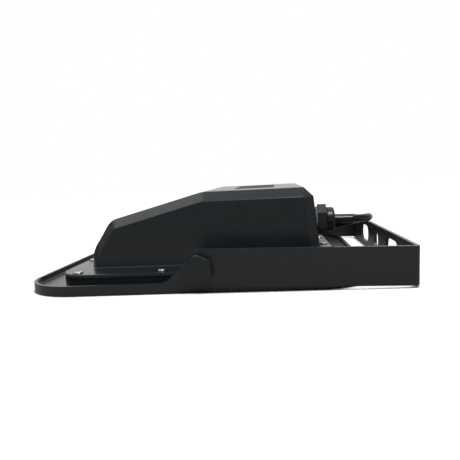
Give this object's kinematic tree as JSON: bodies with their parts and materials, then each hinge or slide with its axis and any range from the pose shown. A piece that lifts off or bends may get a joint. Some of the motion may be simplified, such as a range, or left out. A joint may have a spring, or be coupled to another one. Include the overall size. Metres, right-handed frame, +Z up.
{
  "type": "solar floodlight",
  "caption": "Flat square die-cast floodlight head lying on its glass, with a deep rear battery cover, a side cable gland with a short plugged lead, and a folding slotted U yoke.",
  "frame": {"origin": "middle of the bounding box in plan, on the surface that the light's front lies on", "axes": "+Z up, from the glass front to the battery cover; +X towards the yoke's crossbar as folded; Y along the pivot axis, with the cable gland on the -Y side"},
  "size_m": [0.2648, 0.2722, 0.064],
  "materials": {
    "cast_black": "die-cast, black fine-texture powder coat",
    "steel_black": "black fine-texture powder coat on steel",
    "screw_steel": "bright stainless",
    "rubber_black": "matt",
    "seal_blue": "satin",
    "nylon_black": "satin",
    "lead_black": "glossy PVC jacket",
    "label_black": "satin, bare",
    "clear_glass": "clear tempered glass",
    "silicone_grey": "matt",
    "board_white": "white solder mask on aluminium board",
    "board_green": "green solder mask",
    "cell_blue": "shrink sleeve",
    "cradle_black": "moulded",
    "brass": "plated contacts",
    "ferrite_grey": "ferrite with winding",
    "terminal_green": "moulded"
  },
  "bodies": {
    "head": {"rear_tray": "cast_black", "battery_cover": "cast_black", "cover_gasket": "rubber_black", "label_plate": "label_black", "pivot_bolt_near": "steel_black", "pivot_bolt_far": "steel_black", "friction_disc_near": "nylon_black", "friction_disc_far": "nylon_black", "spring_washer_near": "screw_steel", "spring_washer_far": "screw_steel", "pivot_nut_near": "screw_steel", "pivot_nut_far": "screw_steel", "gland_washer": "seal_blue", "gland_body": "nylon_black", "gland_dome_nut": "nylon_black", "gland_locknut": "nylon_black", "gland_bush": "rubber_black", "lead_cord": "lead_black", "plug_body": "rubber_black", "plug_insert": "brass", "front_glass": "clear_glass", "glass_seal": "silicone_grey", "led_board": "board_white", "led_board_screw_01": "screw_steel", "led_board_screw_02": "screw_steel", "led_board_screw_03": "screw_steel", "led_board_screw_04": "screw_steel", "battery_cradle": "cradle_black", "battery_cell_01": "cell_blue", "battery_cell_02": "cell_blue", "battery_cell_03": "cell_blue", "battery_cell_04": "cell_blue", "battery_strap": "screw_steel", "control_board": "board_green", "control_board_screw_01": "screw_steel", "control_board_screw_02": "screw_steel", "board_inductor": "ferrite_grey", "board_capacitor": "cradle_black", "terminal_block": "terminal_green", "supply_wires": "lead_black", "led_wires": "rubber_black", "cover_screw_01": "screw_steel", "cover_screw_02": "screw_steel", "cover_screw_03": "screw_steel", "cover_screw_04": "screw_steel", "cover_screw_05": "screw_steel", "cover_screw_06": "screw_steel", "cover_screw_07": "screw_steel", "cover_screw_08": "screw_steel", "cover_screw_09": "screw_steel", "cover_screw_10": "screw_steel", "cover_screw_11": "screw_steel", "cover_screw_12": "screw_steel", "cover_screw_13": "screw_steel", "cover_screw_14": "screw_steel"},
    "yoke": {"yoke": "steel_black"},
    "collar": {"plug_collar": "nylon_black"}
  },
  "joints": [
    {"name": "yoke_tilt", "type": "hinge", "parent": "head", "child": "yoke", "pos_m": [-0.00639, 0, 0.0167], "axis": [0, -1, 0], "range_deg": [-90, 180]},
    {"name": "collar_turn", "type": "hinge", "parent": "head", "child": "collar", "pos_m": [-0.0947, 0.0945, 0.0194], "axis": [-1, 0, 0], "continuous": true}
  ]
}
